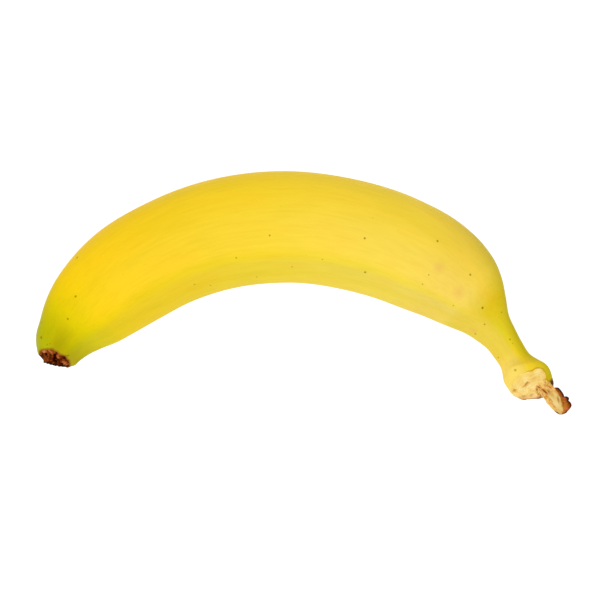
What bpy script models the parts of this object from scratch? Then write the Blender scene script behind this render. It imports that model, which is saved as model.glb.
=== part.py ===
"""A whole, unpeeled banana that lies on its side.

The fruit bends round one upright axis. Rings of points stand along the bend, from the dried flower
scar at the low-X end to the broken stalk at the high-X end, and are skinned into one solid. A torn
strip of stalk fibre is then joined to the broken face. +Z is up, the table is at Z = 0, and the
outer curve of the bend faces +Y. Sizes are in metres, and angles round the bend are in degrees
from its top, positive towards the stalk.
"""

import math

import bmesh
import bpy
import numpy as np

MM = 0.001

# The bend: from its axis to the middle of the fruit, and where the axis stands.
BEND_RADIUS = 90 * MM
BEND_AXIS = (-6.4 * MM, -67.7 * MM)

# The lofting table. Each row is a station: its angle round the bend, how far the middle of the
# fruit lies outside the bend radius there, half its width seen from above, and how high its
# underside is over the table (in millimetres). Below zero, the underside is pressed flat.
STATIONS = (
    (-59.1, 0.0, 5.9, 9.2),
    (-58.0, 0.0, 7.4, 8.2),
    (-56.9, 0.1, 8.3, 7.6),
    (-54.0, 0.3, 10.0, 6.0),
    (-51.0, 0.3, 12.1, 4.0),
    (-48.0, 0.1, 13.9, 2.3),
    (-42.0, -0.1, 16.3, 0.1),
    (-36.0, -0.1, 17.6, -0.5),
    (-24.0, -0.2, 18.1, -0.5),
    (0.0, -0.3, 18.6, -0.5),
    (24.0, 0.2, 18.1, -0.5),
    (33.0, 1.1, 17.0, -0.5),
    (39.0, 1.4, 15.1, 0.3),
    (42.0, 1.3, 13.7, 1.5),
    (45.0, 0.9, 11.6, 3.3),
    (48.0, 0.1, 8.9, 5.6),
    (51.0, -0.5, 6.8, 7.4),
    (54.0, -0.7, 5.8, 8.4),
    (57.0, -0.8, 5.4, 8.8),
    (60.0, -0.6, 5.6, 8.6),
    (61.8, -0.2, 6.8, 7.6),
    (63.4, 0.2, 7.8, 6.8),
    (65.7, 0.2, 7.3, 6.9),
)
HEIGHT_SHARE = 0.95  # how high the fruit is for its width

# The long ridges of the peel: direction in the section (degrees from the outer curve, by way of
# the top), how far each stands out as a share of the half width, and how wide it is in degrees.
RIDGES = ((40, 0.050), (117, 0.070), (186, 0.065), (246, 0.055), (316, 0.055))
RIDGE_WIDTH = 19
RIDGE_TWIST = -4  # degrees that the ridges turn from the flower end to the stalk
SHARPER_ENDS = 0.6  # how much more the ridges stand out on the neck and near the scar
SHARPER_FROM = 34  # degrees from the top of the bend where they start to stand out more
SHARPER_RUN = 13  # degrees of bend over which they do

# How the two ends are cut, in degrees: the face leans back from the upright, and turns in plan.
SCAR_SLANT = 20
SCAR_SKEW = 3
STALK_SLANT = 33
STALK_OVERHANG = 42  # the slant of the face's lower half
STALK_SKEW = 14
SLANT_RUN = 13  # degrees of bend over which the rings lean over to the end face

# The dried flower scar and the broken stalk are rough domes on the two end faces.
SCAR_DOME = 2.0 * MM
SCAR_ROUGH = 0.55 * MM
STALK_DOME = 2.2 * MM
STALK_ROUGH = 0.35 * MM
PEEL_LIP = 0.5 * MM  # how far the peel's torn edge stands out round the broken face
LIP_FROM = 0.8  # where the lip begins, as a share of the way out from the middle of the face
LUMP_WAVES = 6  # waves that add up to the rough surface of an end face
LUMP_PITCH = (5.0, 9.5)  # their least and greatest pitch, in radians over the face's half width

# The torn strip of fibre: its line as stations of angle round the bend, distance outside the
# bend radius and height in millimetres, and its half width and half thickness along it.
STRIP_LINE = ((62.5, 2.8, 12.4), (66.0, 3.6, 14.8), (69.0, 4.9, 15.9), (71.0, 6.3, 15.6), (73.5, 8.4, 14.0))
STRIP_HALF_WIDTH = (1.9, 2.4, 2.8, 3.0, 2.4)
STRIP_HALF_THICKNESS = (1.5, 1.8, 1.8, 1.9, 1.5)
STRIP_FOLDS = 5  # grooves along it
STRIP_FOLD_DEPTH = 0.09
STRIP_TWIST = 70  # degrees that the grooves turn along it
# Curled lobes on its outer edge: place along the strip, length share and height.
STRIP_LOBES = ((0.50, 0.09, 0.32), (0.72, 0.06, 0.36), (0.89, 0.07, 0.30))
LOBE_SIDE = 20  # degrees round the strip's own section where the lobes stand
LOBE_SPREAD = 45
STRIP_TIP = 0.12  # the share of the strip over which its free end rounds off

# How finely the solid is faceted, and how much closer its rings stand towards the two ends.
COLUMNS = 40
BODY_RINGS = 84
END_RINGS = 7
CROWDING = 0.6
STRIP_COLUMNS = 20
STRIP_RINGS = 20

# The peel's colour, and how dull it is.
PEEL_COLOUR = (0.93, 0.64, 0.05, 1.0)
PEEL_ROUGHNESS = 0.5


def clear_scene():
    """Removes whatever the scene starts with."""
    for thing in list(bpy.data.objects):
        bpy.data.objects.remove(thing)


def smooth_through(places, values, at):
    """A smooth curve through the values at the places, read at other places (cubic Hermite)."""
    places, values = np.asarray(places, float), np.asarray(values, float)
    slopes = np.gradient(values, places)
    at = np.clip(at, places[0], places[-1])
    piece = np.clip(np.searchsorted(places, at) - 1, 0, len(places) - 2)
    span = places[piece + 1] - places[piece]
    t = (at - places[piece]) / span
    return (
        values[piece] * (1 + 2 * t) * (1 - t) ** 2
        + values[piece + 1] * t * t * (3 - 2 * t)
        + slopes[piece] * span * t * (1 - t) ** 2
        - slopes[piece + 1] * span * t * t * (1 - t)
    )


def eased(share):
    """0 to 1 with a level start and end."""
    share = np.clip(share, 0, 1)
    return share * share * (3 - 2 * share)


def roughness(around, out, seed):
    """Lumps on an end face, from about -1 to 1: a sum of waves of seeded direction and phase."""
    draw = np.random.default_rng(seed)
    across, up = out * np.cos(around), out * np.sin(around)
    total = np.zeros_like(across)
    for _ in range(LUMP_WAVES):
        turn, phase = draw.uniform(0, 2 * math.pi, 2)
        pitch = draw.uniform(*LUMP_PITCH)
        total += np.sin(pitch * (across * math.cos(turn) + up * math.sin(turn)) + phase)
    return total / math.sqrt(2 * LUMP_WAVES)


def section(angle, around):
    """The ridged outline of the fruit at one station, as (outward, up), each from -1 to 1."""
    sharper = 1 + SHARPER_ENDS * eased((abs(angle) - SHARPER_FROM) / SHARPER_RUN)
    turn = RIDGE_TWIST * angle / (STATIONS[-1][0] - STATIONS[0][0])
    reach = np.ones_like(around)
    for direction, height in RIDGES:
        away = (np.degrees(around) - direction - turn + 180) % 360 - 180
        reach += sharper * height * np.exp(-((away / RIDGE_WIDTH) ** 2))
    outline = np.stack([reach * np.cos(around), reach * np.sin(around)])
    low, high = outline.min(1, keepdims=True), outline.max(1, keepdims=True)
    return (2 * outline - low - high) / (high - low)


def placed(angle, outward, up):
    """World points at an angle round the bend, a distance outside the bend radius and a height."""
    turn = np.radians(angle)
    reach = BEND_RADIUS + outward
    return np.stack(
        [BEND_AXIS[0] + reach * np.sin(turn), BEND_AXIS[1] + reach * np.cos(turn), up], axis=-1
    )


def end_lean(angle, outward, up):
    """Degrees round the bend by which a ring's points lean over towards the slanted end faces."""
    first, last = STATIONS[0][0], STATIONS[-1][0]
    at_scar = 1 - eased((angle - first) / SLANT_RUN)
    at_stalk = eased((angle - last + SLANT_RUN) / SLANT_RUN)
    along = at_scar * up * math.tan(math.radians(SCAR_SLANT))
    along = along - at_scar * outward * math.tan(math.radians(SCAR_SKEW))
    slant = np.where(up > 0, math.radians(STALK_SLANT), math.radians(STALK_OVERHANG))
    along = along - at_stalk * up * np.tan(slant)
    along = along + at_stalk * outward * math.tan(math.radians(STALK_SKEW))
    return np.degrees(along / BEND_RADIUS)


def ring(angle, size=1.0, bulge=0.0):
    """One ring of points at a station. An end ring is shrunk by size and bulges along the fruit."""
    places, middle, half_width, underside = zip(*STATIONS)
    middle = smooth_through(places, middle, angle) * MM
    half_width = smooth_through(places, half_width, angle) * MM
    underside = smooth_through(places, underside, angle) * MM
    half_height = HEIGHT_SHARE * half_width
    around = np.arange(COLUMNS) * 2 * math.pi / COLUMNS
    outline = section(angle, around)
    outward = half_width * outline[0] * size
    up = half_height * outline[1] * size
    station = angle + end_lean(angle, outward, up) + np.degrees(bulge / BEND_RADIUS)
    return placed(station, middle + outward, np.maximum(underside + half_height + up, 0))


def scar_end():
    """The dried flower scar: a rough dome, from its middle out to the peel."""
    rings = []
    around = np.arange(COLUMNS) * 2 * math.pi / COLUMNS
    for step in range(1, END_RINGS + 1):
        size = step / END_RINGS
        dome = SCAR_DOME * math.cos(size * math.pi / 2)
        rough = SCAR_ROUGH * roughness(around, np.full(COLUMNS, size), seed=4)
        fade = 1 - eased((size - LIP_FROM) / (1 - LIP_FROM))
        rings.append(ring(STATIONS[0][0], size, -(dome + rough * fade)))
    return rings[:-1]


def stalk_end():
    """The broken stalk: the peel's torn lip, then a rough dome of pith, in to its middle."""
    rings = []
    around = np.arange(COLUMNS) * 2 * math.pi / COLUMNS
    for step in range(END_RINGS - 1, 0, -1):
        size = step / END_RINGS
        dome = STALK_DOME * math.cos(size * math.pi / 2) - PEEL_LIP * (size > LIP_FROM)
        rough = STALK_ROUGH * roughness(around, np.full(COLUMNS, size), seed=11)
        rings.append(ring(STATIONS[-1][0], size, dome + rough))
    return rings


def body_rings():
    """The rings of the whole fruit, closer together towards its two ends."""
    first, last = STATIONS[0][0], STATIONS[-1][0]
    even = np.linspace(0, 1, BODY_RINGS)
    crowded = even - CROWDING * np.sin(2 * math.pi * even) / (2 * math.pi)
    return scar_end() + [ring(first + (last - first) * share) for share in crowded] + stalk_end()


def strip_rings():
    """The rings of the torn strip: a folded ribbon with curled lobes on its outer edge."""
    stations = np.linspace(0, 1, len(STRIP_LINE))
    along = np.linspace(0, 1, STRIP_RINGS)
    angle, outside, height = (smooth_through(stations, row, along) for row in zip(*STRIP_LINE))
    line = placed(angle, outside * MM, height * MM)
    ahead = np.gradient(line, axis=0)
    ahead /= np.linalg.norm(ahead, axis=1, keepdims=True)
    across = np.cross(np.array([0.0, 0.0, 1.0]), ahead)
    across /= np.linalg.norm(across, axis=1, keepdims=True)
    over = np.cross(ahead, across)
    half_width = smooth_through(stations, STRIP_HALF_WIDTH, along) * MM
    half_thick = smooth_through(stations, STRIP_HALF_THICKNESS, along) * MM
    around = np.arange(STRIP_COLUMNS) * 2 * math.pi / STRIP_COLUMNS
    rings = []
    for i, share in enumerate(along):
        reach = 1 + STRIP_FOLD_DEPTH * np.cos(STRIP_FOLDS * around + math.radians(STRIP_TWIST) * share)
        away = (np.degrees(around) - LOBE_SIDE + 180) % 360 - 180
        for place, length, lobe in STRIP_LOBES:
            reach += lobe * np.exp(-((share - place) / length) ** 2 - (away / LOBE_SPREAD) ** 2)
        to_tip = max(share - 1 + STRIP_TIP, 0) / STRIP_TIP
        reach *= math.sqrt(max(1 - to_tip**2, STRIP_TIP))
        sideways = np.outer(half_width[i] * reach * np.cos(around), across[i])
        upward = np.outer(half_thick[i] * reach * np.sin(around), over[i])
        rings.append(line[i] + sideways + upward)
    return rings


def skin(name, rings):
    """A closed object through the rings, with a point at the middle of each end."""
    mesh = bmesh.new()
    rows = [[mesh.verts.new(point) for point in row] for row in rings]
    for row, following in zip(rows, rows[1:]):
        for i, corner in enumerate(row):
            beside = (i + 1) % len(row)
            mesh.faces.new((corner, row[beside], following[beside], following[i]))
    for row, points in ((rows[0], rings[0]), (rows[-1], rings[-1])):
        middle = mesh.verts.new(points.mean(axis=0))
        for i, corner in enumerate(row):
            mesh.faces.new((corner, row[(i + 1) % len(row)], middle))
    bmesh.ops.recalc_face_normals(mesh, faces=mesh.faces)
    data = bpy.data.meshes.new(name)
    mesh.to_mesh(data)
    mesh.free()
    thing = bpy.data.objects.new(name, data)
    bpy.context.scene.collection.objects.link(thing)
    return thing


def joined(thing, addition):
    """One solid of the two: a Boolean union, applied, with the addition then removed."""
    union = thing.modifiers.new("join", "BOOLEAN")
    union.operation = "UNION"
    union.solver = "EXACT"
    union.object = addition
    bpy.context.view_layer.update()
    graph = bpy.context.evaluated_depsgraph_get()
    data = bpy.data.meshes.new_from_object(thing.evaluated_get(graph))
    thing.modifiers.clear()
    thing.data = data
    bpy.data.objects.remove(addition)
    return thing


def peel_material():
    """The waxy yellow peel."""
    material = bpy.data.materials.new("peel")
    material.use_nodes = True
    shader = material.node_tree.nodes["Principled BSDF"]
    shader.inputs["Base Color"].default_value = PEEL_COLOUR
    shader.inputs["Roughness"].default_value = PEEL_ROUGHNESS
    shader.inputs["Metallic"].default_value = 0.0
    material.diffuse_color = PEEL_COLOUR
    return material


def banana():
    """The whole fruit as one solid."""
    fruit = joined(skin("banana", body_rings()), skin("strip", strip_rings()))
    fruit.data.materials.clear()
    fruit.data.materials.append(peel_material())
    fruit.data.shade_smooth()
    return fruit


clear_scene()
banana()
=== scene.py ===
"""The looks of a whole unpeeled banana that lies on its side, made over its solid.

It follows the fruit as it is put together: the peel, the dried flower scar, the broken face of the
stalk, the torn strip that hangs from it with its fibre bundles and dried edges, and then the studio.
Sizes are in millimetres until a mesh is made. An angle round the bend is in degrees from its top,
positive towards the stalk. A direction round the section starts at the outer curve and goes by way
of the top.
"""

import math

import bmesh
import bpy
import numpy as np
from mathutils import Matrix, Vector, noise


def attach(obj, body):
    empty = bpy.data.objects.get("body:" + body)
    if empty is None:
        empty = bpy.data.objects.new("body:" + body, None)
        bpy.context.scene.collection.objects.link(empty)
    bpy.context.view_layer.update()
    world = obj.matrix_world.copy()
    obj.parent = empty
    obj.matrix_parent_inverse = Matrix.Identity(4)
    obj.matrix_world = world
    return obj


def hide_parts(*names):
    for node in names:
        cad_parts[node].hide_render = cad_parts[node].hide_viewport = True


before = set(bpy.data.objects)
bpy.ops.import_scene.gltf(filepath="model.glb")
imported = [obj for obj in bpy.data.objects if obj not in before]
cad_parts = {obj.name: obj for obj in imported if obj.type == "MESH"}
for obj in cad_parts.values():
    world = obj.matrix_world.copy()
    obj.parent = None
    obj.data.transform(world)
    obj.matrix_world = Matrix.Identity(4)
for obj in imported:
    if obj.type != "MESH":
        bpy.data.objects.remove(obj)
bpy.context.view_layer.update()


# The peel
# The real one is the fruit's own waxy skin, about 3 mm thick, grown in one with the neck and the
# stalk. It ends where the dried flower was at one end, and where it was torn from the bunch at the
# other, so both of its edges are ragged.

MM = 0.001
BEND_RADIUS = 90
BEND_AXIS = (-6.4, -67.7)
# Each station: its angle round the bend, how far the fruit's middle lies outside the bend radius,
# half the fruit's width, and how high its underside is over the table. Below zero it is pressed flat.
STATIONS = (
    (-59.1, -0.3, 6.05, 9.2),
    (-58.0, -0.3, 7.5, 8.2),
    (-56.9, 0.1, 8.3, 7.6),
    (-54.0, 0.3, 10.0, 6.0),
    (-51.0, 0.3, 12.1, 4.0),
    (-48.0, 0.1, 13.9, 2.3),
    (-42.0, 0.0, 16.1, 0.1),
    (-36.0, -0.1, 17.35, -0.5),
    (-24.0, -0.3, 17.9, -0.5),
    (-10.0, -0.4, 18.5, -0.5),
    (0.0, -0.45, 18.55, -0.5),
    (14.0, -0.25, 18.25, -0.5),
    (24.0, 0.35, 17.85, -0.5),
    (33.0, 1.05, 16.9, -0.5),
    (39.0, 1.4, 15.1, 0.3),
    (42.0, 1.3, 13.7, 1.5),
    (45.0, 0.9, 11.6, 3.3),
    (48.0, 0.25, 9.05, 5.6),
    (51.0, -0.6, 6.95, 7.4),
    (54.0, -0.7, 5.8, 8.4),
    (57.0, -0.9, 5.3, 8.8),
    (60.0, -0.75, 5.4, 8.6),
    (61.8, -0.3, 6.5, 7.6),
    (63.4, 0.15, 7.6, 6.8),
    (65.7, 0.2, 7.3, 6.9),
)
FIRST, LAST = STATIONS[0][0], STATIONS[-1][0]
HEIGHT_SHARE = 0.95
# The ridges: direction in degrees, how far each stands out as a share of the half width.
RIDGES = ((40, 0.050), (117, 0.070), (186, 0.065), (246, 0.055), (316, 0.055))
RIDGE_WIDTH = 19
RIDGE_TWIST = -4
SHARPER_ENDS = 0.6
SHARPER_FROM = 34
SHARPER_RUN = 13
# How the end faces lean back and turn in plan, and over how many degrees of bend that begins.
SCAR_SLANT = 20
SCAR_SKEW = 3
STALK_SLANT = 33
STALK_OVERHANG = 42
STALK_SKEW = 14
SLANT_RUN = 13
# How many degrees of bend the peel's edge stops short of the two end faces, by direction.
SCAR_BACK = (
    (0, 0.0), (25, -0.15), (45, -0.3), (62, 0.1), (78, 0.4), (95, 0.5), (115, 0.55), (135, 0.65),
    (155, 0.65), (180, 0.2), (270, 0.0),
)
BREAK_BACK = (
    (0, 0.1), (25, 0.2), (45, 0.8), (60, 1.05), (75, 0.65), (95, 0.4), (120, 0.15), (150, 0.1),
    (185, -0.3), (210, 0.1), (240, 0.5), (270, 0.6), (290, 0.5), (325, 0.2),
)
# How ragged both edges are, in degrees, and the circle and wave lengths that this is drawn with.
RAGGED = 0.16
TORN_RADIUS = 9
TORN_LENGTHS = (1.6, 6)
PEEL_RINGS = 420
PEEL_COLUMNS = 144
# How much closer together the rings lie towards the two ends.
CROWDING = 0.45
# The rolled edges of the peel as size and bulge, and the hidden floor under the end pieces.
ROLLED_EDGE = (
    (0.985, 0.20), (0.955, 0.24), (0.93, 0.05), (0.91, -0.7), (0.6, -2.0), (0.3, -2.0), (0.05, -2.0),
)
# The size at which a roll ends, the size below which all is floor, and how the floor is drawn in.
ROLL_END = 0.93
FLOOR_SIZE = 0.9
FLOOR_DRAW = 0.07
# How much wider the rolled edges are, by direction. Outside the bend the peel curls in.
SCAR_ROLL = (
    (0, 4.2), (25, 3.2), (45, 1.6), (60, 1.05), (75, 1.0), (170, 1.0), (265, 1.0), (285, 1.1),
    (310, 1.8), (340, 3.6),
)
SCAR_ROLL_BULGE = 0.38
STALK_ROLL = (
    (0, 3.9), (20, 4.0), (36, 3.0), (52, 1.3), (70, 0.9), (90, 0.6), (170, 0.6), (250, 0.8),
    (290, 1.2), (330, 2.2),
)
STALK_ROLL_BULGE = 0.2
# Half the width of the fruit's two ends, and how wide a plain roll is there.
SCAR_HALF = 6
STALK_HALF = 7.5
SCAR_ROLL_WIDTH = 0.42
STALK_ROLL_WIDTH = 0.5
# The power that evens out the roll at the stalk, and the distance that stands for far away.
ROLL_POWER = 0.3
FAR = 99.0
# Slow dents and long low swellings of the skin, and its finer lengthwise fibres. Both are drawn out
# along the fruit by squeezing its length.
DENT_HEIGHT = 0.16
DENT_LENGTHS = (9, 24)
DENT_SQUEEZE = 0.35
FIBRE_HEIGHT = 0.02
FIBRE_LENGTHS = (2.6, 6)
FIBRE_SQUEEZE = 0.12
# The height from which a direction round the section is counted.
SECTION_MIDDLE = 17


def eased(share):
    """0 to 1 with a level start and end."""
    share = np.clip(share, 0, 1)
    return share * share * (3 - 2 * share)


def smooth_through(places, values, at):
    """A smooth curve through the values at the places, read at other places."""
    places, values = np.asarray(places, float), np.asarray(values, float)
    slopes = np.gradient(values, places)
    at = np.clip(at, places[0], places[-1])
    piece = np.clip(np.searchsorted(places, at) - 1, 0, len(places) - 2)
    span = places[piece + 1] - places[piece]
    t = (at - places[piece]) / span
    return (
        values[piece] * (1 + 2 * t) * (1 - t) ** 2
        + values[piece + 1] * t * t * (3 - 2 * t)
        + slopes[piece] * span * t * (1 - t) ** 2
        - slopes[piece + 1] * span * t * t * (1 - t)
    )


def by_direction(table, around):
    """A value given at a few directions, read smoothly all round."""
    places, values = zip(*table)
    places = [p - 360 for p in places] + list(places) + [p + 360 for p in places]
    return smooth_through(places, values * 3, np.degrees(around) % 360)


def swell(points, lengths, seed, waves=16):
    """A smooth random field, mostly from -1 to 1, made of waves with lengths in the given range."""
    draw = np.random.default_rng(seed)
    total = 0
    for _ in range(waves):
        way = draw.normal(size=3)
        way /= np.linalg.norm(way)
        length = draw.uniform(*lengths)
        phase = draw.uniform(0, 2 * math.pi)
        total = total + np.sin(points @ way * 2 * math.pi / length + phase)
    return total / math.sqrt(2 * waves)


def ridged(angle, around):
    """How far the ridged section reaches in each direction, before it is fitted to its width."""
    sharper = 1 + SHARPER_ENDS * eased((np.abs(angle) - SHARPER_FROM) / SHARPER_RUN)
    turn = RIDGE_TWIST * angle / (LAST - FIRST)
    reach = 1
    for direction, height in RIDGES:
        away = (np.degrees(around) - direction - turn + 180) % 360 - 180
        reach = reach + sharper * height * np.exp(-((away / RIDGE_WIDTH) ** 2))
    return reach


fit_angles = np.linspace(FIRST, LAST, 120)
fit_turn = np.linspace(0, 2 * math.pi, 240, endpoint=False)
fit_reach = ridged(fit_angles[:, None], fit_turn[None, :])


def fitted(reach, way, angle, around):
    """The section's reach along one way, fitted to run from -1 to 1 at every angle."""
    sides = fit_reach * way(fit_turn)
    low = np.interp(angle, fit_angles, sides.min(axis=1))
    high = np.interp(angle, fit_angles, sides.max(axis=1))
    return (2 * reach * way(around) - low - high) / (high - low)


def at_turn(turn, distance, height):
    """Points at an angle round the bend in radians, a distance from its axis and a height."""
    east, north = BEND_AXIS[0] + distance * np.sin(turn), BEND_AXIS[1] + distance * np.cos(turn)
    return np.stack(np.broadcast_arrays(east, north, height), axis=-1)


def fruit(angle, around, size=1.0, bulge=0.0):
    """Points of the fruit. Size draws the section in, and bulge pushes it along the fruit."""
    places, *rows = zip(*STATIONS)
    middle, half_width, underside = (smooth_through(places, row, angle) for row in rows)
    reach = ridged(angle, around)
    outward = half_width * size * fitted(reach, np.cos, angle, around)
    up = half_width * HEIGHT_SHARE * size * fitted(reach, np.sin, angle, around)
    at_scar = 1 - eased((angle - FIRST) / SLANT_RUN)
    at_stalk = eased((angle - LAST + SLANT_RUN) / SLANT_RUN)
    scar_lean = up * math.tan(math.radians(SCAR_SLANT)) - outward * math.tan(math.radians(SCAR_SKEW))
    slant = np.where(up > 0, math.radians(STALK_SLANT), math.radians(STALK_OVERHANG))
    stalk_lean = outward * math.tan(math.radians(STALK_SKEW)) - up * np.tan(slant)
    turn = np.radians(angle) + (at_scar * scar_lean + at_stalk * stalk_lean + bulge) / BEND_RADIUS
    height = np.maximum(underside + HEIGHT_SHARE * half_width + up, 0)
    return at_turn(turn, BEND_RADIUS + middle + outward, height)


def unrolled(points, squeeze=1.0):
    """Each point's distance along the bend, outside it and up. Squeeze shortens the first."""
    east, north = points[..., 0] - BEND_AXIS[0], points[..., 1] - BEND_AXIS[1]
    along = np.arctan2(east, north) * BEND_RADIUS
    return np.stack([along * squeeze, np.hypot(east, north) - BEND_RADIUS, points[..., 2]], axis=-1)


def skin(name, rings, values=None):
    """A closed smooth piece through rings of points, with named values kept at its points."""
    count, columns = rings.shape[:2]
    points = np.concatenate([rings.reshape(-1, 3), [rings[0].mean(axis=0)], [rings[-1].mean(axis=0)]])
    number = np.arange(count * columns).reshape(count, columns)
    beside = np.roll(number, -1, axis=1)
    quads = np.stack([number[:-1], beside[:-1], beside[1:], number[1:]], axis=-1).reshape(-1, 4).tolist()
    fans = [[a, b, count * columns] for a, b in zip(number[0].tolist(), beside[0].tolist())]
    fans += [[a, b, count * columns + 1] for a, b in zip(number[-1].tolist(), beside[-1].tolist())]
    data = bpy.data.meshes.new(name)
    data.from_pydata((points * MM).tolist(), [], quads + fans)
    for key, value in (values or {}).items():
        value = np.broadcast_to(value, (count, columns))
        ends = [value[0].mean(), value[-1].mean()]
        layer = data.attributes.new(key, "FLOAT", "POINT")
        layer.data.foreach_set("value", np.concatenate([value.ravel(), ends]).astype(np.float32))
    tidy = bmesh.new()
    tidy.from_mesh(data)
    bmesh.ops.recalc_face_normals(tidy, faces=tidy.faces)
    tidy.to_mesh(data)
    tidy.free()
    data.shade_smooth()
    piece = bpy.data.objects.new(name, data)
    bpy.context.scene.collection.objects.link(piece)
    return piece


def linear(code):
    """An sRGB hex colour as linear red, green, blue and a full alpha."""
    parts = [int(code[i : i + 2], 16) / 255 for i in (0, 2, 4)]
    return [p / 12.92 if p <= 0.04045 else ((p + 0.055) / 1.055) ** 2.4 for p in parts] + [1.0]


def finish_named(name):
    """A new material with no nodes yet."""
    material = bpy.data.materials.new(name)
    material.use_nodes = True
    material.node_tree.nodes.clear()
    return material


def add(material, kind, inputs=None, stops=None, **settings):
    """Adds a node with its settings. Inputs are values, sockets or nodes, stops a ramp's colours.

    Sockets go by name or by number. A Mix takes its share at 0 and its colours at 6 and 7. A Map
    Range takes its value at 0, reads it from 1 to 2 and gives 3 to 4, or 0 to 1 if these are left out.
    """
    node = material.node_tree.nodes.new("ShaderNode" + kind)
    for key, value in settings.items():
        setattr(node, key, value)
    for key, value in (inputs or {}).items():
        if isinstance(value, bpy.types.Node):
            value = next(out for out in value.outputs if out.enabled)
        if isinstance(value, bpy.types.NodeSocket):
            material.node_tree.links.new(value, node.inputs[key])
        else:
            node.inputs[key].default_value = value
    for i, (place, code) in enumerate(stops or ()):
        elements = node.color_ramp.elements
        element = elements[i] if i < len(elements) else elements.new(place)
        element.position = place
        element.color = linear(code)
    return node


def cover(piece, material, shading, grain, bump):
    """Ends a finish with the fine relief of its grain, and puts it on a piece.

    Shading holds the shader's own values, and bump is the relief's strength and its depth.
    """
    strength, depth = bump
    relief = add(material, "Bump", {"Strength": strength, "Distance": depth * MM, "Height": grain})
    shader = add(material, "BsdfPrincipled", {**shading, "Normal": relief})
    add(material, "OutputMaterial", {"Surface": shader})
    piece.data.materials.append(material)


around = np.linspace(0, 2 * math.pi, PEEL_COLUMNS, endpoint=False)
circle = np.stack([np.cos(around), np.sin(around), 0 * around], axis=-1)
torn = RAGGED * swell(TORN_RADIUS * circle, TORN_LENGTHS, seed=8)
peel_start = FIRST + by_direction(SCAR_BACK, around) + torn
peel_end = LAST - by_direction(BREAK_BACK, around) + torn
even = np.linspace(0, 1, PEEL_RINGS)
crowded = even - CROWDING * np.sin(2 * math.pi * even) / (2 * math.pi)
angle = peel_start + (peel_end - peel_start) * crowded[:, None]
plain = fruit(angle, around)
relief = DENT_HEIGHT * swell(unrolled(plain, DENT_SQUEEZE), DENT_LENGTHS, seed=3)
relief += FIBRE_HEIGHT * swell(unrolled(plain, FIBRE_SQUEEZE), FIBRE_LENGTHS, seed=5)
half_widths = smooth_through([s[0] for s in STATIONS], [s[2] for s in STATIONS], angle)
body = fruit(angle, around, 1 + relief / half_widths)
scar_roll = by_direction(SCAR_ROLL, around)
scar_push = SCAR_ROLL_BULGE * (scar_roll - 1)
rolled_scar = []
for size, bulge in reversed(ROLLED_EDGE):
    on_roll = 1 - (1 - size) * scar_roll if size > FLOOR_SIZE else FLOOR_SIZE - FLOOR_DRAW * scar_roll
    pushed = bulge + scar_push * (1 - size) / (1 - ROLL_END) if size >= ROLL_END else bulge
    rolled_scar.append(fruit(peel_start, around, np.minimum(size, on_roll), -pushed))
stalk_roll = by_direction(STALK_ROLL, around)
rolled_break = []
for size, bulge in ROLLED_EDGE:
    drawn = 1 - (1 - size) * (stalk_roll if size > FLOOR_SIZE else 1)
    rolled_break.append(fruit(peel_end, around, drawn, bulge + STALK_ROLL_BULGE * (stalk_roll - 1)))
rings = np.concatenate([rolled_scar, body, rolled_break])
# The distance from each edge of the skin, counted on over its own roll and far at the other one.
far = np.full((len(ROLLED_EDGE), PEEL_COLUMNS), FAR)
rolled = [SCAR_HALF * max(size - ROLL_END, 0) * scar_roll for size, _ in reversed(ROLLED_EDGE)]
on_body = np.radians(angle - peel_start) * BEND_RADIUS + SCAR_ROLL_WIDTH * scar_roll
from_scar = np.concatenate([rolled, on_body, far])
slow_roll = stalk_roll**ROLL_POWER
rolled = [STALK_HALF * max(size - ROLL_END, 0) * slow_roll for size, _ in ROLLED_EDGE]
on_body = np.radians(peel_end - angle) * BEND_RADIUS + STALK_ROLL_WIDTH * slow_roll
from_break = np.concatenate([far, on_body, rolled])
peel = skin("peel", rings, {"from_scar": from_scar, "from_break": from_break})


def bend_places(material):
    """Sockets for a point's angle round the bend, direction in the section and unrolled place."""
    place = add(material, "TexCoord").outputs["Object"]
    axis = (BEND_AXIS[0] * MM, BEND_AXIS[1] * MM, 0)
    offset = add(material, "VectorMath", {0: place, 1: axis}, operation="SUBTRACT")
    scaled = add(material, "VectorMath", {0: offset, 1: (1 / MM,) * 3}, operation="MULTIPLY")
    flat = add(material, "VectorMath", {0: scaled, 1: (1, 1, 0)}, operation="MULTIPLY")
    parts = add(material, "SeparateXYZ", {0: scaled})
    turn = add(material, "Math", {0: parts.outputs["X"], 1: parts.outputs["Y"]}, operation="ARCTAN2")
    degrees = add(material, "Math", {0: turn}, operation="DEGREES")
    distance = add(material, "VectorMath", {0: flat}, operation="LENGTH").outputs["Value"]
    outside = add(material, "Math", {0: distance, 1: BEND_RADIUS}, operation="SUBTRACT")
    over = add(material, "Math", {0: parts.outputs["Z"], 1: SECTION_MIDDLE}, operation="SUBTRACT")
    way = add(material, "Math", {0: over, 1: outside}, operation="ARCTAN2")
    direction = add(material, "Math", {0: way}, operation="DEGREES")
    along = add(material, "Math", {0: turn, 1: BEND_RADIUS}, operation="MULTIPLY")
    unrolled_place = add(material, "CombineXYZ", {"X": along, "Y": outside, "Z": over})
    return degrees, direction, unrolled_place


# Waxy banana peel: a thin natural wax over a fibrous skin, IOR about 1.45 and satin. It is golden in
# the middle, greener at both ends and along the ridges, with faint lengthwise fibres.
wax = finish_named("waxy banana peel")
degrees, direction, unrolled_place = bend_places(wax)
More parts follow.
